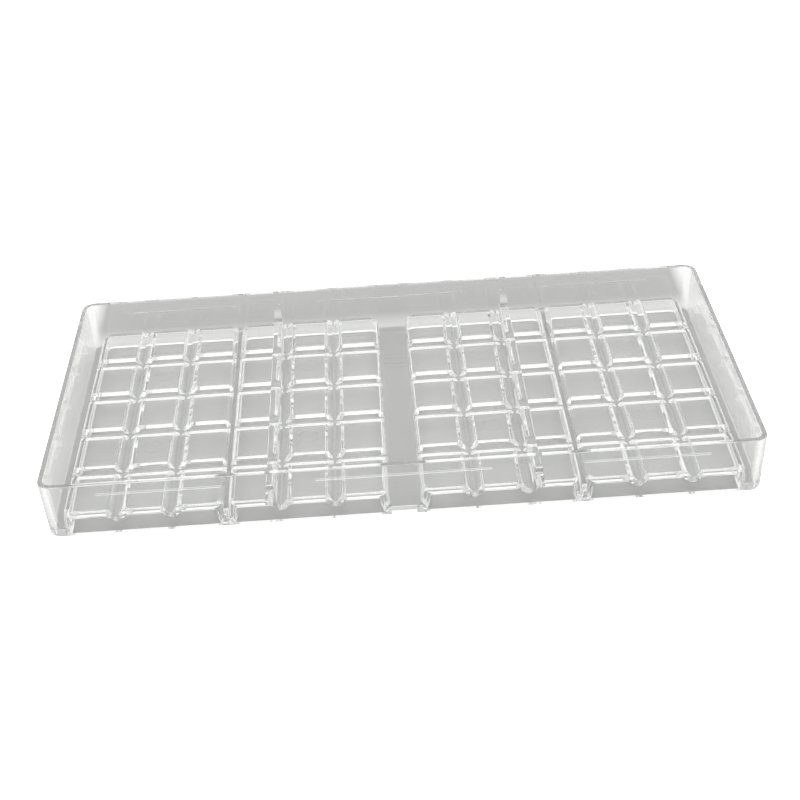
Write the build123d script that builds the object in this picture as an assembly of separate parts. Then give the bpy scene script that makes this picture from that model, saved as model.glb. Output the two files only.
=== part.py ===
from build123d import *
import math
import os

# A clear one-piece bar mould, lying face down: the moulding face is z = 0 and the rim of its skirt is on top.
# X runs along the mould, Y across it, and the origin is the middle of the moulding face.
# The moulding is one piece of plastic. Each node below is one region of it, and the regions meet face to face.

# Skirt and rim (mm)
overall_length = 275.0
overall_width = 135.0
overall_height = 24.0
skirt_inset = 0.6          # how far the foot of the skirt lies inside its rim, on every side
foot_corner_radius = 5.2
rim_wall = 2.2             # wall at the rim
foot_wall = 2.5            # wall at the moulding face
tray_corner_radius = 3.0
rim_rounding = 0.6

# Bars: two pairs, with a narrow land inside each pair and a broad land between the pairs
bar_mouth_width = 58.8
end_wall = 3.4             # between the end of a bar and the outside of the skirt, at the moulding face
pair_land = 4.0
pair_web_drop = 2.0         # from the roofs down to the top of the web between two bars of a pair
centre_land = 15.0
cavity_depth = 6.7
cavity_lean = 0.8          # how far each side of a cavity leans in over its depth
cavity_corner_radius = 2.5
shell_wall = 2.2
roof_thickness = 3.1
block_corner_radius = 4.0
block_edge_rounding = 2.2
land_thickness = 3.0

# Break lines: each bar is three columns of five rows
column_pitch = 20.8
row_pitch = 26.0
column_breaks = 2
row_breaks = 4
groove_depth = 2.2         # above the roof
groove_half_width = 2.6
groove_tip_radius = 0.6
ridge_depth = 3.05         # below the roof, before the tip is rounded
ridge_half_width = 3.9
ridge_tip_radius = 3.1
ejector_diameter = 8.0
ejector_depth = 0.1

# Cross ribs, with a gusset at each wall
rib_foot_width = 4.4       # where it leaves the roofs
rib_height = 2.5           # above the roofs
web_lean = 0.11            # how far each side of a rib or gusset leans in for each millimetre up
rib_from_break = 3.6       # from the nearest break line to the middle of the rib
gusset_height = 18.5       # above the moulding face
gusset_reach = 6.5
gusset_tip = 0.8

# Ledges inside the long walls, where the next mould of a stack stops
ledge_height = 18.0
ledge_thickness = 0.8
ledge_depth = 0.5
middle_ledge_length = 66.6
side_ledge_length = 47.4
side_ledge_offset = 92.3

# Where one region ends and the next begins
corner_zone = 6.5
mitre_depth = 6.0

bar_mouth_length = overall_width - 2 * skirt_inset - 2 * end_wall
bar_pitch_in_pair = bar_mouth_width + pair_land
inner_bar_x = (centre_land + bar_mouth_width) / 2
outer_bar_x = inner_bar_x + bar_pitch_in_pair
bar_centres = {
    "left_outer": -outer_bar_x,
    "left_inner": -inner_bar_x,
    "right_inner": inner_bar_x,
    "right_outer": outer_bar_x,
}
roof_bottom = cavity_depth
roof_top = cavity_depth + roof_thickness
lean_angle = math.degrees(math.atan(cavity_lean / cavity_depth))
rib_top = roof_top + rib_height
rib_x = inner_bar_x + column_pitch / 2 + rib_from_break


def zone(x0, x1, y0, y1, z0, z1):
    """A box between two corners."""
    box = Box(x1 - x0, y1 - y0, z1 - z0)
    return Pos((x0 + x1) / 2, (y0 + y1) / 2, (z0 + z1) / 2) * box


def leaning_block(length, width, radius, height, inset):
    """A block with rounded corners that stands on z = 0. Its sides lean in by inset over the height."""
    outline = RectangleRounded(length, width, radius)
    return extrude(outline, amount=height, taper=math.degrees(math.atan(inset / height)))


def only_solid(shape):
    """The one solid that a cut leaves, without the wrapping around it."""
    solids = shape.solids()
    return solids[0] if len(solids) == 1 else Compound(children=list(solids))


def skirt_outside():
    return leaning_block(
        overall_length - 2 * skirt_inset,
        overall_width - 2 * skirt_inset,
        foot_corner_radius,
        overall_height,
        -skirt_inset,
    )


def tray_space(inward=0.0):
    """The space inside the skirt, from the moulding face to the rim, less a margin all round."""
    foot_length = overall_length - 2 * skirt_inset - 2 * foot_wall
    foot_width = overall_width - 2 * skirt_inset - 2 * foot_wall
    opening_out = foot_wall + skirt_inset - rim_wall
    return leaning_block(
        foot_length - 2 * inward,
        foot_width - 2 * inward,
        tray_corner_radius,
        overall_height,
        -opening_out,
    )


def skirt():
    """The whole skirt as a ring, with its rim rounded on both edges."""
    ring = skirt_outside() - tray_space()
    rim_edges = ring.faces().sort_by(Axis.Z)[-1].edges()
    return fillet(rim_edges, rim_rounding)


def cavity(centre_x):
    """The space that one bar fills, without its break lines."""
    pocket = leaning_block(
        bar_mouth_width, bar_mouth_length, cavity_corner_radius, cavity_depth, cavity_lean
    )
    return Pos(centre_x, 0, 0) * pocket


def block(centre_x):
    """The outside of the shell around one bar, filled in, with its top edge rounded."""
    height = roof_top
    outside = leaning_block(
        bar_mouth_width + 2 * shell_wall,
        bar_mouth_length + 2 * shell_wall,
        block_corner_radius,
        height,
        cavity_lean * height / cavity_depth,
    )
    outside = fillet(outside.faces().sort_by(Axis.Z)[-1].edges(), block_edge_rounding)
    return Pos(centre_x, 0, 0) * outside


def break_section(top_z, depth, half_width, tip_radius):
    """The V of a break line, hanging from top_z in the XZ plane."""
    corners = [(-half_width, top_z), (half_width, top_z), (0, top_z - depth)]
    v_shape = make_face(Polyline(*corners, close=True).edges())
    tip = v_shape.vertices().sort_by(Axis.Y)[0]
    return fillet(tip, tip_radius)


def break_lines(centre_x, section, overrun):
    """Every break line of one bar as V-shaped bars: the columns' lines first, then the rows'."""
    length = bar_mouth_length + 2 * overrun
    width = bar_mouth_width + 2 * overrun
    along_y = extrude(Plane.XZ * section, amount=length / 2, both=True)
    along_x = extrude(Plane.YZ * section, amount=width / 2, both=True)
    lines = []
    for i in range(column_breaks):
        offset = (i - (column_breaks - 1) / 2) * column_pitch
        lines.append(Pos(centre_x + offset, 0, 0) * along_y)
    for i in range(row_breaks):
        offset = (i - (row_breaks - 1) / 2) * row_pitch
        lines.append(Pos(centre_x, offset, 0) * along_x)
    return lines


def grooves(centre_x):
    section = break_section(roof_top, groove_depth, groove_half_width, groove_tip_radius)
    return break_lines(centre_x, section, 2 * shell_wall)


def ridges(centre_x):
    section = break_section(roof_bottom, ridge_depth, ridge_half_width, ridge_tip_radius)
    return break_lines(centre_x, section, 0)


def roof(centre_x):
    """The roof of one bar: V grooves above, blunter ridges below, and two ejector marks."""
    above = zone(-overall_length, overall_length, -overall_width, overall_width, roof_bottom, roof_top)
    slab = block(centre_x) & above & tray_space()
    for groove in grooves(centre_x):
        slab -= groove
    for side in (-1, 1):
        mark = Cylinder(ejector_diameter / 2, 2 * ejector_depth)
        slab -= Pos(centre_x, side * row_pitch, roof_top) * mark
    room = cavity(centre_x)
    for ridge in ridges(centre_x):
        slab += ridge & room
    return only_solid(slab)


def mitre_zone(centre_x, side, along_x):
    """Where a side wall (along_x) or an end wall of one bar stands, cut off at 45 degrees at its corners."""
    half_width = bar_mouth_width / 2
    half_length = bar_mouth_length / 2
    near, far = -mitre_depth, mitre_depth
    if along_x:
        corners = [
            (side * (half_width + near), half_length + near),
            (side * (half_width + far), half_length + far),
            (side * (half_width + far), -half_length - far),
            (side * (half_width + near), -half_length - near),
        ]
    else:
        corners = [
            (half_width + near, side * (half_length + near)),
            (half_width + far, side * (half_length + far)),
            (-half_width - far, side * (half_length + far)),
            (-half_width - near, side * (half_length + near)),
        ]
    plan = make_face(Polyline(*corners, close=True).edges())
    return Pos(centre_x, 0, 0) * extrude(plan, amount=roof_bottom)


def regions_under_roof(name, centre_x):
    """The walls of one bar below its roof: two sides that stand on the lands' edges, and two ends."""
    far_x = overall_length
    far_y = overall_width
    half_width = bar_mouth_width / 2
    inside = tray_space()
    over_lands = block(centre_x) & inside & zone(-far_x, far_x, -far_y, far_y, land_thickness, roof_bottom)
    between_lands = inside & zone(
        centre_x - half_width, centre_x + half_width, -far_y, far_y, 0, land_thickness
    )
    shell = (over_lands + between_lands) - cavity(centre_x)
    return {
        f"{name}_bar_left_side": only_solid(shell & mitre_zone(centre_x, -1, True)),
        f"{name}_bar_right_side": only_solid(shell & mitre_zone(centre_x, 1, True)),
        f"{name}_bar_front_end": only_solid(shell & mitre_zone(centre_x, -1, False)),
        f"{name}_bar_back_end": only_solid(shell & mitre_zone(centre_x, 1, False)),
    }


def pair_web(centre_x, room):
    """The web that stands on a pair land and fills the narrow gap between its two bars."""
    top = roof_top - pair_web_drop
    near, far = centre_x - pair_land / 4, centre_x + pair_land / 4
    web = room & zone(near, far, -overall_width, overall_width, land_thickness, top)
    for side in (-1, 1):
        web -= block(centre_x + side * bar_pitch_in_pair / 2)
    return web


def lands():
    """The strips of the moulding face between the bars and beside them."""
    half_width = bar_mouth_width / 2
    outer_edge = overall_length / 2
    spans = {
        "left_end_land": (-outer_edge, -outer_bar_x - half_width),
        "left_pair_land": (-outer_bar_x + half_width, -inner_bar_x - half_width),
        "centre_land": (-inner_bar_x + half_width, inner_bar_x - half_width),
        "right_pair_land": (inner_bar_x + half_width, outer_bar_x - half_width),
        "right_end_land": (outer_bar_x + half_width, outer_edge),
    }
    strips = {}
    for name, (x0, x1) in spans.items():
        strip = tray_space() & zone(x0, x1, -overall_width, overall_width, 0, land_thickness)
        if "pair" in name:
            strip += pair_web((x0 + x1) / 2, tray_space())
        strips[name] = only_solid(strip)
    return strips


def skirt_regions():
    """The skirt as four walls and four rounded corner posts."""
    ring = skirt()
    far_x = overall_length
    far_y = overall_width
    near_x = overall_length / 2 - corner_zone
    near_y = overall_width / 2 - corner_zone
    top = overall_height
    regions = {
        "front_wall": zone(-near_x, near_x, -far_y, 0, 0, top),
        "back_wall": zone(-near_x, near_x, 0, far_y, 0, top),
        "left_end_wall": zone(-far_x, 0, -near_y, near_y, 0, top),
        "right_end_wall": zone(0, far_x, -near_y, near_y, 0, top),
        "front_left_corner": zone(-far_x, -near_x, -far_y, -near_y, 0, top),
        "front_right_corner": zone(near_x, far_x, -far_y, -near_y, 0, top),
        "back_left_corner": zone(-far_x, -near_x, near_y, far_y, 0, top),
        "back_right_corner": zone(near_x, far_x, near_y, far_y, 0, top),
    }
    return {name: only_solid(ring & region) for name, region in regions.items()}


def web_section(low, high):
    """The leaning section of a rib or gusset between two heights, in the XZ plane."""
    low_half = rib_foot_width / 2 - (low - roof_top) * web_lean
    high_half = rib_foot_width / 2 - (high - roof_top) * web_lean
    corners = [(-low_half, low), (low_half, low), (high_half, high), (-high_half, high)]
    return make_face(Polyline(*corners, close=True).edges())


def cross_rib(x, centre_x, roof_solid):
    """One rib over a bar's roof from wall to wall. It fills the break lines that it crosses."""
    section = web_section(roof_top - groove_depth, rib_top)
    whole = Pos(x, 0, 0) * extrude(Plane.XZ * section, amount=overall_width, both=True)
    whole = whole & tray_space()
    rib = whole - block(centre_x)
    for groove in grooves(centre_x)[column_breaks:]:
        rib += (whole & groove) - roof_solid
    return only_solid(rib)


def gusset(x, side):
    """The web that stiffens a long wall where a rib meets it. side is -1 at the front, 1 at the back."""
    wall_y = overall_width / 2
    foot_y = wall_y - rim_wall - gusset_reach
    tip_y = wall_y - rim_wall - gusset_tip
    foot = (foot_y, rib_top)
    tip = (tip_y, gusset_height)
    sag = ((foot_y + tip_y) / 2 + gusset_reach / 6, (rib_top + gusset_height) / 2 - gusset_reach / 6)
    slope = ThreePointArc(foot, sag, tip)
    rest = Polyline(tip, (wall_y, gusset_height), (wall_y, rib_top), foot)
    outline = extrude(Plane.YZ * make_face([slope, *rest.edges()]), amount=rib_foot_width, both=True)
    if side < 0:
        outline = mirror(outline, about=Plane.XZ)
    web = extrude(Plane.XZ * web_section(rib_top, gusset_height), amount=overall_width, both=True)
    return only_solid((Pos(x, 0, 0) * (web & outline)) & tray_space())


def ledges():
    """Six thin ledges inside the long walls."""
    lining = tray_space() - tray_space(ledge_depth)
    spans = {
        "left": (-side_ledge_offset, side_ledge_length),
        "middle": (0.0, middle_ledge_length),
        "right": (side_ledge_offset, side_ledge_length),
    }
    found = {}
    for side, wall in ((-1, "front"), (1, "back")):
        near, far = sorted((0, side * overall_width))
        for label, (middle, length) in spans.items():
            x0 = middle - length / 2
            region = zone(x0, x0 + length, near, far, ledge_height, ledge_height + ledge_thickness)
            found[f"{wall}_ledge_{label}"] = only_solid(lining & region)
    return found


nodes = {}
nodes.update(skirt_regions())
nodes.update(lands())
roofs = {}
for bar_name, bar_x in bar_centres.items():
    roofs[bar_name] = roof(bar_x)
    nodes[f"{bar_name}_bar_roof"] = roofs[bar_name]
    nodes.update(regions_under_roof(bar_name, bar_x))
for hand, bar_name in ((-1, "left_inner"), (1, "right_inner")):
    word = "left" if hand < 0 else "right"
    nodes[f"{word}_cross_rib"] = cross_rib(hand * rib_x, bar_centres[bar_name], roofs[bar_name])
    nodes[f"{word}_gusset_front"] = gusset(hand * rib_x, -1)
    nodes[f"{word}_gusset_back"] = gusset(hand * rib_x, 1)
nodes.update(ledges())

os.makedirs("parts", exist_ok=True)
for node_name, shape in nodes.items():
    shape.label = node_name
    export_step(shape, os.path.join("parts", f"{node_name}.step"))
print(len(nodes), "nodes written")
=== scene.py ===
import math
import bpy
import bmesh
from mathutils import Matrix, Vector


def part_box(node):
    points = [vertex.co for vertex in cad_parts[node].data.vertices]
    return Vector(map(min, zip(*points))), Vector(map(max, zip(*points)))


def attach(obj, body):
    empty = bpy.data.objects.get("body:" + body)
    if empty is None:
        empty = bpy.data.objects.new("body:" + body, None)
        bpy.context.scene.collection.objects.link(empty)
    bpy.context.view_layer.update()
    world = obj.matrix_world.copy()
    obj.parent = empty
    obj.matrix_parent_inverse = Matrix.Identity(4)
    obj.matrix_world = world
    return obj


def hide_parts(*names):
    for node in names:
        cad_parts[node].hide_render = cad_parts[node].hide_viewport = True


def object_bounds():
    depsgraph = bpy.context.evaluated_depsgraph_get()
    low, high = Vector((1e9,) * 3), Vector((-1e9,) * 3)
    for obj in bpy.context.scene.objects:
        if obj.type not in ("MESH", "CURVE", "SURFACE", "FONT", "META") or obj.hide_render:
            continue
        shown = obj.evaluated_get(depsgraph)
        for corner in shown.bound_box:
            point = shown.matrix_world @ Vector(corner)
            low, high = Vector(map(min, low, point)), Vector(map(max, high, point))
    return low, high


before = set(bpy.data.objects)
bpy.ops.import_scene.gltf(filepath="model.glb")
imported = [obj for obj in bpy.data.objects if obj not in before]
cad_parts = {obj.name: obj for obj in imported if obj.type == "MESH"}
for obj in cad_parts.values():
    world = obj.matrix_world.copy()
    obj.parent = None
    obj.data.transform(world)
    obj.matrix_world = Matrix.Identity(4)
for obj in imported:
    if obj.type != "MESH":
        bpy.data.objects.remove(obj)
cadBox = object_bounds()
mm = 0.001
hair = 1e-6    # points nearer than this are level with each other

camera = {
    "place": (-0.004848, -0.494327, 0.348107),
    "turn": (55.31872, 2.82827, -2.62447),    # degrees
    "lens": 64.686,
    "sensor": 36.0,
    "nearest": 0.01,
    "farthest": 50,
}
turn = [math.radians(angle) for angle in camera["turn"]]
bpy.ops.object.camera_add(location=camera["place"], rotation=turn)
viewCamera = bpy.context.object
viewCamera.name = "viewCamera"
viewCamera.data.lens = camera["lens"]
viewCamera.data.sensor_width = camera["sensor"]
viewCamera.data.clip_start = camera["nearest"]
viewCamera.data.clip_end = camera["farthest"]
bpy.context.scene.camera = viewCamera
print("camera placed")


def pickNone():
    if bpy.context.object and bpy.context.object.mode != "OBJECT":
        bpy.ops.object.mode_set(mode="OBJECT")
    bpy.ops.object.select_all(action="DESELECT")


def pickOnly(piece):
    pickNone()
    piece.select_set(True)
    bpy.context.view_layer.objects.active = piece


def settle():
    # puts the place, turn and size of the picked object into its mesh
    bpy.ops.object.transform_apply(location=True, rotation=True, scale=True)


def block(name, low, high):
    pickNone()
    middle = [(a + b) / 2 for a, b in zip(low, high)]
    size = [b - a for a, b in zip(low, high)]
    bpy.ops.mesh.primitive_cube_add(size=1, location=middle, scale=size)
    piece = bpy.context.object
    piece.name = name
    settle()
    return piece


def disc(name, radius, depth, middle, steps, turned=(0, 0, 0)):
    pickNone()
    bpy.ops.mesh.primitive_cylinder_add(
        vertices=steps, radius=radius, depth=depth, location=middle, rotation=turned
    )
    piece = bpy.context.object
    piece.name = name
    settle()
    return piece


def startPicking(piece, kind):
    # edit mode, with nothing picked yet
    pickOnly(piece)
    bpy.ops.object.mode_set(mode="EDIT")
    bpy.ops.mesh.select_mode(type=kind)
    bpy.ops.mesh.select_all(action="DESELECT")
    return bmesh.from_edit_mesh(piece.data)


def endPicking(piece, shape):
    shape.select_flush_mode()
    bmesh.update_edit_mesh(piece.data)


def leaveEdit():
    bpy.ops.mesh.select_all(action="DESELECT")
    bpy.ops.object.mode_set(mode="OBJECT")


def pickEdges(piece, test):
    # picks each edge whose two ends pass the test
    shape = startPicking(piece, "EDGE")
    for edge in shape.edges:
        edge.select = bool(test(edge.verts[0].co, edge.verts[1].co))
    endPicking(piece, shape)


def pickSharp(piece, test, angle=25):
    # the same, for edges whose faces meet at more than the angle
    shape = startPicking(piece, "EDGE")
    limit = math.radians(angle)
    for edge in shape.edges:
        sharp = len(edge.link_faces) == 2 and edge.calc_face_angle(0) > limit
        edge.select = sharp and bool(test(edge.verts[0].co, edge.verts[1].co))
    endPicking(piece, shape)


def pickLevel(piece, level):
    # picks the points at one height
    shape = startPicking(piece, "VERT")
    for vert in shape.verts:
        vert.select = abs(vert.co.z - level) < 10 * hair
    endPicking(piece, shape)


def upright(a, b):
    return abs(a.x - b.x) < hair and abs(a.y - b.y) < hair


def levelAt(height):
    # a test for edges that lie at one height
    return lambda a, b: abs(a.z - height) < hair and abs(b.z - height) < hair


def longAt(height):
    # the same, for long edges only
    return lambda a, b: levelAt(height)(a, b) and (a - b).length > 10 * mm


def above(height):
    # a test for edges that lie wholly over a height
    return lambda a, b: min(a.z, b.z) > height


def roundPicked(width, steps):
    bpy.ops.mesh.bevel(
        offset=width, segments=steps, affect="EDGES", profile=0.5, clamp_overlap=False
    )
    leaveEdit()


def leanIn(piece, level, lean):
    # moves the ring of points at one height inwards on every side (outwards, if below zero)
    pickOnly(piece)
    middle, half = [], []
    for axis in (0, 1):
        places = [vert.co[axis] for vert in piece.data.vertices]
        middle.append((min(places) + max(places)) / 2)
        half.append(max(places) - middle[axis])
    pickLevel(piece, level)
    factor = (1 - lean / half[0], 1 - lean / half[1], 1)
    bpy.ops.transform.resize(value=factor, center_override=(middle[0], middle[1], level))
    leaveEdit()


def draftedBlock(name, low, high, corner, lean, steps=8):
    # a block with rounded corners whose top is drawn in by lean on every side
    piece = block(name, low, high)
    pickEdges(piece, upright)
    roundPicked(corner, steps)
    leanIn(piece, high[2], lean)
    return piece


def beam(name, at, ends, heights, halves, alongY):
    # a long bar whose sides lean: halves are its half widths at its foot and at its top
    thick = (at - 1 * mm, at + 1 * mm)
    spanX, spanY = (thick, ends) if alongY else (ends, thick)
    low = (spanX[0], spanY[0], heights[0])
    high = (spanX[1], spanY[1], heights[1])
    piece = block(name, low, high)
    middle = [(a + b) / 2 for a, b in zip(low, high)]
    across = 0 if alongY else 1
    for level, half in zip(heights, halves):
        pickLevel(piece, level)
        widen = [1.0, 1.0, 1.0]
        widen[across] = half * 2 / (thick[1] - thick[0])
        bpy.ops.transform.resize(value=widen, center_override=middle)
    leaveEdit()
    return piece


def fit(target, other, how):
    # joins or cuts two closed shapes
    pickOnly(target)
    step = target.modifiers.new("fit", "BOOLEAN")
    step.operation = how
    step.solver = "MANIFOLD"
    step.object = other
    bpy.ops.object.modifier_apply(modifier=step.name)
    bpy.data.objects.remove(other)


def mergeFlats(piece):
    # joins the flat triangles that a cut leaves into whole faces
    pickOnly(piece)
    bpy.ops.object.mode_set(mode="EDIT")
    bpy.ops.mesh.select_all(action="SELECT")
    bpy.ops.mesh.remove_doubles(threshold=10 * hair)
    bpy.ops.mesh.dissolve_limited(angle_limit=math.radians(1))
    leaveEdit()


def copyAt(piece, x, name):
    pickOnly(piece)
    bpy.ops.object.duplicate(linked=False)
    other = bpy.context.object
    other.name = name
    bpy.ops.transform.translate(value=(x, 0, 0))
    settle()
    return other


# places and sizes that come from the frame
lowest, highest = cadBox
length = highest.x - lowest.x
width = highest.y - lowest.y
height = highest.z - lowest.z
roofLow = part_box("left_inner_bar_front_end")[1].z    # where the roofs start
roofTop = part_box("left_inner_bar_roof")[1].z
landNames = ("left_end", "left_pair", "centre", "right_pair", "right_end")
landBoxes = {name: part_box(name + "_land") for name in landNames}
landTop = landBoxes["centre"][1].z
mouths = {
    bar: (landBoxes[before][1].x, landBoxes[after][0].x)
    for bar, before, after in (
        ("left_outer", "left_end", "left_pair"),
        ("left_inner", "left_pair", "centre"),
        ("right_inner", "centre", "right_pair"),
        ("right_outer", "right_pair", "right_end"),
    )
}
barWidth = mouths["left_inner"][1] - mouths["left_inner"][0]
barCentres = {bar: (a + b) / 2 for bar, (a, b) in mouths.items()}
print("bar width", round(barWidth, 5), "roof", round(roofLow, 5), round(roofTop, 5))

skirtSizes = {
    "footInset": 0.6 * mm,       # how far the foot lies inside the rim
    "footCorner": 5.2 * mm,
    "rimWall": 2.2 * mm,
    "footWall": 2.5 * mm,
    "innerCorner": 3.0 * mm,
    "rimRounding": 0.45 * mm,
    "footRounding": 0.3 * mm,
    "cutterOver": 0.2,           # how far the tray cutter goes past the skirt, as a share
}


def makeSkirt(sizes):
    # the ring of the skirt, wider at its rim than at its foot
    x, y = length / 2 - sizes["footInset"], width / 2 - sizes["footInset"]
    skirt = draftedBlock(
        "mould", (-x, -y, 0), (x, y, height), sizes["footCorner"], -sizes["footInset"]
    )
    pickEdges(skirt, levelAt(0))
    roundPicked(sizes["footRounding"], 2)
    over = sizes["cutterOver"]
    opening = sizes["footWall"] + sizes["footInset"] - sizes["rimWall"]
    inset = sizes["footWall"] + over * opening
    tray = draftedBlock(
        "tray",
        (inset - x, inset - y, -over * height),
        (x - inset, y - inset, (1 + over) * height),
        sizes["innerCorner"],
        -opening * (1 + 2 * over),
    )
    fit(skirt, tray, "DIFFERENCE")
    pickSharp(skirt, levelAt(height))
    roundPicked(sizes["rimRounding"], 3)
    return skirt


def makeFloorPlate(sizes):
    # the floor of the tray, which the lands are part of, out to the middle of the skirt
    midWall = sizes["footInset"] + sizes["footWall"] / 2
    x, y = length / 2 - midWall, width / 2 - midWall
    corner = sizes["innerCorner"] + sizes["footWall"] / 2
    return draftedBlock("floorPlate", (-x, -y, 0), (x, y, landTop), corner, 0)


mould = makeSkirt(skirtSizes)
print("skirt made")
fit(mould, makeFloorPlate(skirtSizes), "UNION")
print("floor plate joined")

barSizes = {
    "mouthEnd": 4.0 * mm,        # from the outside of the skirt to the end of a cavity
    "lean": 0.8 * mm,            # over the depth of a cavity
    "corner": 2.5 * mm,
    "shell": 2.2 * mm,
    "outerCorner": 4.0 * mm,
    "topRounding": 2.2 * mm,
    "columnPitch": 20.8 * mm,
    "rowPitch": 26.0 * mm,
    "mouthRounding": 0.35 * mm,  # along the top of a cavity
    "groove": {"depth": 2.2 * mm, "half": 2.6 * mm, "tip": 0.42 * mm, "tipRounding": 0.3 * mm},
    "ridge": {"depth": 2.2 * mm, "half": 3.9 * mm, "tip": 1.1 * mm, "tipRounding": 0.9 * mm},
    "lineOver": 1.0 * mm,        # how far the cutters for the break lines stand over the surface
    "linePast": 8.0 * mm,        # and go past the bar
    "grooveShoulder": 0.3 * mm,
    "grooveReach": 2.0 * mm,     # edges down to this far below the roof are softened
    "ridgeShoulder": 0.1 * mm,
    "ridgeReach": 2.5 * mm,
    "webHalf": 1.0 * mm,         # the web that fills the gap between the two bars of a pair
    "webDrop": 2.0 * mm,
    "webFoot": 1.0 * mm,
    "markRadius": 4.0 * mm,      # round marks that the ejector pins leave
    "markDepth": 0.1 * mm,
}


def makeLineGrid(sizes, section, top):
    # every break line of one bar as V-shaped beams, joined, a little higher than the surface
    slope = (section["half"] - section["tip"]) / section["depth"]
    halves = (section["tip"], section["half"] + sizes["lineOver"] * slope)
    heights = (top - section["depth"], top + sizes["lineOver"])
    halfX = barWidth / 2 + sizes["linePast"]
    halfY = width / 2 - sizes["mouthEnd"] + sizes["linePast"]
    beams = []
    for step in (-0.5, 0.5):
        at = step * sizes["columnPitch"]
        beams.append(beam("columnLine", at, (-halfY, halfY), heights, halves, True))
    for step in (-1.5, -0.5, 0.5, 1.5):
        at = step * sizes["rowPitch"]
        beams.append(beam("rowLine", at, (-halfX, halfX), heights, halves, False))
    for piece in beams:
        pickEdges(piece, longAt(heights[0]))
        roundPicked(section["tipRounding"], 4)
    grid = beams[0]
    for piece in beams[1:]:
        fit(grid, piece, "UNION")
    grid.name = "lineGrid"
    return grid


def makeBarBlock(sizes):
    # the outside of one bar's shell, filled in, with the break lines cut across its top
    halfX = barWidth / 2 + sizes["shell"]
    halfY = width / 2 - sizes["mouthEnd"] + sizes["shell"]
    lean = sizes["lean"] * roofTop / roofLow
    low, high = (-halfX, -halfY, 0), (halfX, halfY, roofTop)
    piece = draftedBlock("barBlock", low, high, sizes["outerCorner"], lean)
    pickEdges(piece, levelAt(roofTop))
    roundPicked(sizes["topRounding"], 5)
    fit(piece, makeLineGrid(sizes, sizes["groove"], roofTop), "DIFFERENCE")
    mergeFlats(piece)
    pickSharp(piece, above(roofTop - sizes["grooveReach"]))
    roundPicked(sizes["grooveShoulder"], 3)
    for side in (-1, 1):
        middle = (0, side * sizes["rowPitch"], roofTop)
        mark = disc("mark", sizes["markRadius"], 2 * sizes["markDepth"], middle, 48)
        fit(piece, mark, "DIFFERENCE")
    return piece


def makeCavity(sizes):
    # the space that one bar fills: the cutter that hollows each block
    under = 1.0 * mm
    halfX = barWidth / 2
    halfY = width / 2 - sizes["mouthEnd"]
    grow = sizes["lean"] * under / roofLow
    piece = draftedBlock(
        "cavity",
        (-halfX - grow, -halfY - grow, -under),
        (halfX + grow, halfY + grow, roofLow),
        sizes["corner"],
        sizes["lean"] + grow,
    )
    pickEdges(piece, levelAt(roofLow))
    roundPicked(sizes["mouthRounding"], 4)
    fit(piece, makeLineGrid(sizes, sizes["ridge"], roofLow), "DIFFERENCE")
    mergeFlats(piece)
    pickSharp(piece, above(roofLow - sizes["ridgeReach"]))
    roundPicked(sizes["ridgeShoulder"], 3)
    return piece


def makePairWeb(sizes, land):
    low, high = landBoxes[land]
    middle, half = (low.x + high.x) / 2, sizes["webHalf"]
    end = width / 2 - skirtSizes["footWall"]
    top = roofTop - sizes["webDrop"]
    return block("pairWeb", (middle - half, -end, sizes["webFoot"]), (middle + half, end, top))


barBlock = makeBarBlock(barSizes)
cavityCutter = makeCavity(barSizes)
for bar, x in barCentres.items():
    fit(mould, copyAt(barBlock, x, bar + "Block"), "UNION")
bpy.data.objects.remove(barBlock)
for land in ("left_pair", "right_pair"):
    fit(mould, makePairWeb(barSizes, land), "UNION")
print("bar blocks joined")

ribSizes = {
    "footHalf": 2.2 * mm,        # half width where it leaves the roofs
    "lean": 0.11,                # for each millimetre up
    "topRounding": 0.5 * mm,
    "intoWall": 1.0 * mm,
    "gussetFoot": 1.0 * mm,      # how far a gusset goes down into the rib
    "gussetSag": 1.35 * mm,
    "tipInset": 3.0 * mm,        # the curve of a gusset ends here, from the outside of the rim
    "tipRise": 0.2 * mm,
    "scoopWidth": 12 * mm,
}


def makeGusset(sizes, centre, ribTop, wallBox, sign, end, ribHalf):
    # a web in the corner between rib and wall, with its free edge scooped out
    low, high = wallBox
    reach = min(abs(low.y), abs(high.y))
    topHalf = sizes["footHalf"] - (high.z - roofTop) * sizes["lean"]
    ends = tuple(sorted((sign * reach, sign * end)))
    heights = (ribTop - sizes["gussetFoot"], high.z)
    gusset = beam("gusset", centre, ends, heights, (ribHalf, topHalf), True)
    foot = Vector((centre, sign * reach, ribTop))
    tip = Vector((centre, sign * (width / 2 - sizes["tipInset"]), high.z + sizes["tipRise"]))
    chord = tip - foot
    away = Vector((0, -chord.z * sign, chord.y * sign)).normalized()
    sag = sizes["gussetSag"]
    radius = (chord.length ** 2 / 4 + sag ** 2) / (2 * sag)
    hub = (foot + tip) / 2 + away * (radius - sag)
    scoop = disc("scoop", radius, sizes["scoopWidth"], hub, 192, (0, math.pi / 2, 0))
    fit(gusset, scoop, "DIFFERENCE")
    return gusset


def makeRib(sizes, side):
    # a rib from wall to wall, with a curved gusset at each end
    low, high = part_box(side + "_cross_rib")
    centre = (low.x + high.x) / 2
    end = width / 2 - skirtSizes["footWall"] + sizes["intoWall"]
    lowHalf = sizes["footHalf"] + (roofTop - low.z) * sizes["lean"]
    highHalf = sizes["footHalf"] - (high.z - roofTop) * sizes["lean"]
    rib = beam("crossRib", centre, (-end, end), (low.z, high.z), (lowHalf, highHalf), True)
    pickEdges(rib, longAt(high.z))
    roundPicked(sizes["topRounding"], 3)
    for wall, sign in (("front", -1), ("back", 1)):
        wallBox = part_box(side + "_gusset_" + wall)
        fit(rib, makeGusset(sizes, centre, high.z, wallBox, sign, end, highHalf), "UNION")
    return rib


for side in ("left", "right"):
    fit(mould, makeRib(ribSizes, side), "UNION")
print("ribs joined")

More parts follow.
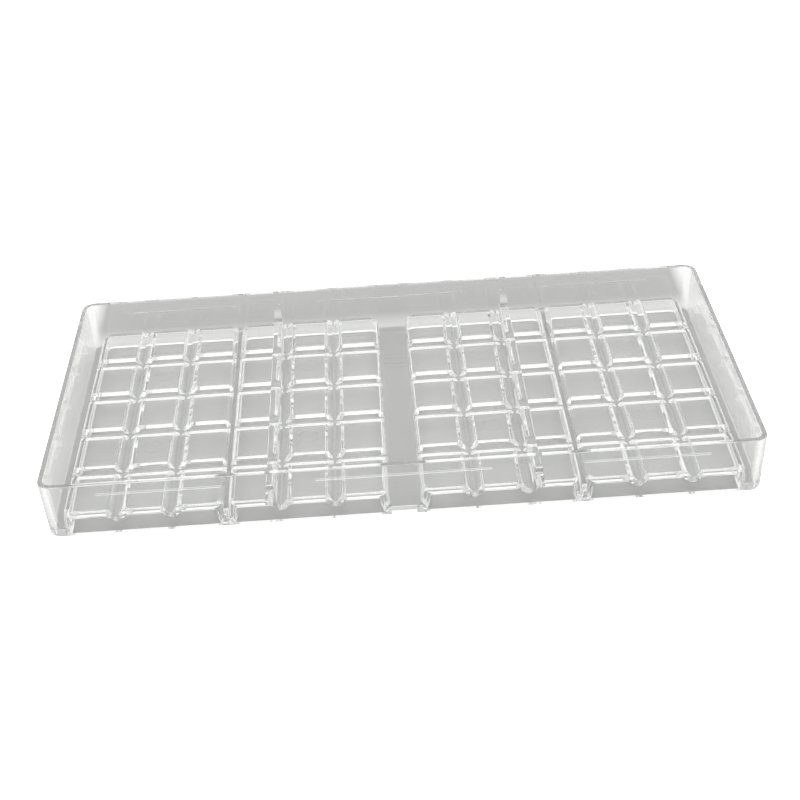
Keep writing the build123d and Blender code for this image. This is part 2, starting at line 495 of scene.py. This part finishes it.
ledgeSizes = {"intoWall": 0.6 * mm, "rounding": 0.2 * mm}


def makeLedge(sizes, wall, place):
    # a small step inside a long wall
    low, high = [list(corner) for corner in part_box(wall + "_ledge_" + place)]
    inside = high[1] if wall == "front" else low[1]
    if wall == "front":
        low[1] -= sizes["intoWall"]
    else:
        high[1] += sizes["intoWall"]
    ledge = block("ledge", low, high)
    pickEdges(ledge, lambda a, b: abs(a.y - inside) < hair and abs(b.y - inside) < hair)
    roundPicked(sizes["rounding"], 2)
    return ledge


for wall in ("front", "back"):
    for place in ("left", "middle", "right"):
        fit(mould, makeLedge(ledgeSizes, wall, place), "UNION")
print("ledges joined")

for bar, x in barCentres.items():
    fit(mould, copyAt(cavityCutter, x, bar + "Cavity"), "DIFFERENCE")
bpy.data.objects.remove(cavityCutter)
print("bars hollowed")


def smoothOver(piece, angle=28, flatness=80):
    # smooth roundings beside flats that stay flat
    mergeFlats(piece)
    pickOnly(piece)
    bpy.ops.object.shade_smooth_by_angle(angle=math.radians(angle))
    evened = piece.modifiers.new("evened", "WEIGHTED_NORMAL")
    evened.keep_sharp = True
    evened.weight = flatness
    bpy.ops.object.modifier_apply(modifier=evened.name)


smoothOver(mould)
print("mould smoothed,", len(mould.data.polygons), "faces")


def addNode(tree, kind, values=None, **settings):
    # a shader node, with its settings and the numbers on its sockets
    node = tree.nodes.new("ShaderNode" + kind)
    for name, setting in settings.items():
        setattr(node, name, setting)
    for socket, value in (values or {}).items():
        node.inputs[socket].default_value = value
    return node


plasticLook = {
    "tint": (0.985, 0.988, 0.985, 1.0),
    "oldTint": (0.965, 0.97, 0.96, 1.0),    # where it has dulled a little with use
    "bend": 1.58,
    "dullness": (0.0, 0.015),               # roughness, polished and worn
    "wearScale": 55,
    "wearStarts": (0.5, 0.8),
    "flowScale": (9, 40, 40),               # long faint waves left by the melt
    "flowHeight": 0.0015 * mm,
}


def makePlastic(look):
    plastic = bpy.data.materials.new("clearPlastic")
    plastic.use_nodes = True
    tree = plastic.node_tree
    shader = tree.nodes["Principled BSDF"]
    shader.inputs["IOR"].default_value = look["bend"]
    shader.inputs["Transmission Weight"].default_value = 1.0
    place = addNode(tree, "TexCoord")
    wear = addNode(tree, "TexNoise", {"Scale": look["wearScale"], "Detail": 4})
    worn = addNode(tree, "MapRange", {
        "From Min": look["wearStarts"][0],
        "From Max": look["wearStarts"][1],
        "To Min": look["dullness"][0],
        "To Max": look["dullness"][1],
    })
    tint = addNode(tree, "Mix", {"A": look["tint"], "B": look["oldTint"]}, data_type="RGBA")
    stretch = addNode(tree, "Mapping", {"Scale": look["flowScale"]})
    flow = addNode(tree, "TexNoise", {"Scale": 1, "Detail": 1})
    wave = addNode(tree, "Bump", {"Distance": look["flowHeight"], "Strength": 1.0})
    link = tree.links.new
    link(place.outputs["Object"], wear.inputs["Vector"])
    link(wear.outputs["Fac"], worn.inputs["Value"])
    link(worn.outputs["Result"], shader.inputs["Roughness"])
    link(wear.outputs["Fac"], tint.inputs["Factor"])
    link(tint.outputs["Result"], shader.inputs["Base Color"])
    link(place.outputs["Object"], stretch.inputs["Vector"])
    link(stretch.outputs["Vector"], flow.inputs["Vector"])
    link(flow.outputs["Fac"], wave.inputs["Height"])
    link(wave.outputs["Normal"], shader.inputs["Normal"])
    return plastic


mould.data.materials.clear()
mould.data.materials.append(makePlastic(plasticLook))
for face in mould.data.polygons:
    face.material_index = 0
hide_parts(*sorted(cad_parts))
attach(mould, "root")
print("plastic set")

paperLook = {
    "size": 12.0,
    "drop": 0.3 * mm,                 # the sheet lies this far under the mould
    "below": (0.93, 0.93, 0.924, 1),  # its tone as the mould shows it
    # painted shade: a darker zone of floor behind the mould, seen through the mould
    "paintedShadeBehind": (0.57, 0.57, 0.566, 1),
    # painted light: a brighter zone of floor beside the mould, seen through the mould
    "beside": (0.98, 0.98, 0.975, 1),
    "paintedShadeStarts": (0.54, 0.62),     # where the painted shade behind the mould starts, as a share of the mould's width, from its middle
    "besideStarts": (0.49, 0.51),     # where the painted light beside the mould starts, as a share of its length
    # painted glow: the zone beside the mould glows a little, which lights the mould's sides
    "besideGlow": 0.1,
    "roughness": 0.9,
}


def makePaper(look):
    # blank white wherever the camera sees it directly, from a painted glow that hides the
    # mould's shadow; greyer through the mould, with painted shade as a darker zone behind it,
    # and painted light with a faint painted glow beside it
    paper = bpy.data.materials.new("paper")
    paper.use_nodes = True
    tree = paper.node_tree
    shader = tree.nodes["Principled BSDF"]
    shader.inputs["Roughness"].default_value = look["roughness"]
    shader.inputs["Specular IOR Level"].default_value = 0.0
    # the colour of the painted glow
    shader.inputs["Emission Color"].default_value = (1, 1, 1, 1)
    place = addNode(tree, "TexCoord")
    split = addNode(tree, "SeparateXYZ")
    apart = addNode(tree, "Math", operation="ABSOLUTE")
    paintedShadeBehind = addNode(tree, "MapRange", {
        "From Min": width * look["paintedShadeStarts"][0],
        "From Max": width * look["paintedShadeStarts"][1],
    })
    beside = addNode(tree, "MapRange", {
        "From Min": length * look["besideStarts"][0],
        "From Max": length * look["besideStarts"][1],
    })
    # painted shade: the floor turns darker behind the mould
    paintedShadeMix = addNode(tree, "Mix", {"A": look["below"], "B": look["paintedShadeBehind"]}, data_type="RGBA")
    # painted light: the floor turns brighter beside the mould
    paintedLightMix = addNode(tree, "Mix", {"B": look["beside"]}, data_type="RGBA")
    path = addNode(tree, "LightPath")
    # painted glow: full for camera rays, so the floor the camera sees is blank white with no
    # shadow, plus a faint glow beside the mould
    paintedGlow = addNode(tree, "Math", {1: look["besideGlow"]}, operation="MULTIPLY_ADD")
    link = tree.links.new
    link(place.outputs["Object"], split.inputs["Vector"])
    link(split.outputs["Y"], paintedShadeBehind.inputs["Value"])
    link(split.outputs["X"], apart.inputs[0])
    link(apart.outputs["Value"], beside.inputs["Value"])
    link(paintedShadeBehind.outputs["Result"], paintedShadeMix.inputs["Factor"])
    link(beside.outputs["Result"], paintedLightMix.inputs["Factor"])
    link(paintedShadeMix.outputs["Result"], paintedLightMix.inputs["A"])
    link(paintedLightMix.outputs["Result"], shader.inputs["Base Color"])
    link(beside.outputs["Result"], paintedGlow.inputs[0])
    link(path.outputs["Is Camera Ray"], paintedGlow.inputs[2])
    link(paintedGlow.outputs["Value"], shader.inputs["Emission Strength"])
    return paper


pickNone()
bpy.ops.mesh.primitive_plane_add(size=paperLook["size"], location=(0, 0, -paperLook["drop"]))
ground = bpy.context.object
ground.name = "ground"
settle()
ground.data.materials.append(makePaper(paperLook))

skyLook = {
    "horizon": 0.9,
    "overhead": 0.98,
    "back": 0.3,              # added towards the back
    "backStarts": (0.5, 0.8),
}


def makeSky(look):
    # soft light from all round, with more from the back
    sky = bpy.data.worlds.new("studioAir")
    sky.use_nodes = True
    tree = sky.node_tree
    air = tree.nodes["Background"]
    air.inputs["Color"].default_value = (1, 1, 1, 1)
    place = addNode(tree, "TexCoord")
    split = addNode(tree, "SeparateXYZ")
    rise = addNode(tree, "MapRange", {"To Min": look["horizon"], "To Max": look["overhead"]})
    rear = addNode(tree, "MapRange", {
        "From Min": look["backStarts"][0],
        "From Max": look["backStarts"][1],
        "To Max": look["back"],
    })
    total = addNode(tree, "Math", operation="ADD")
    link = tree.links.new
    link(place.outputs["Generated"], split.inputs["Vector"])
    link(split.outputs["Z"], rise.inputs["Value"])
    link(split.outputs["Y"], rear.inputs["Value"])
    link(rise.outputs["Result"], total.inputs[0])
    link(rear.outputs["Result"], total.inputs[1])
    link(total.outputs["Value"], air.inputs["Strength"])
    return sky


lightBounces = {"clear": 64, "diffuse": 4}    # light runs far along the inside of the walls
scene = bpy.context.scene
scene.world = makeSky(skyLook)
scene.view_settings.view_transform = "Standard"
scene.cycles.max_bounces = lightBounces["clear"]
scene.cycles.transmission_bounces = lightBounces["clear"]
scene.cycles.glossy_bounces = lightBounces["clear"]
scene.cycles.diffuse_bounces = lightBounces["diffuse"]
print("floor and light set")
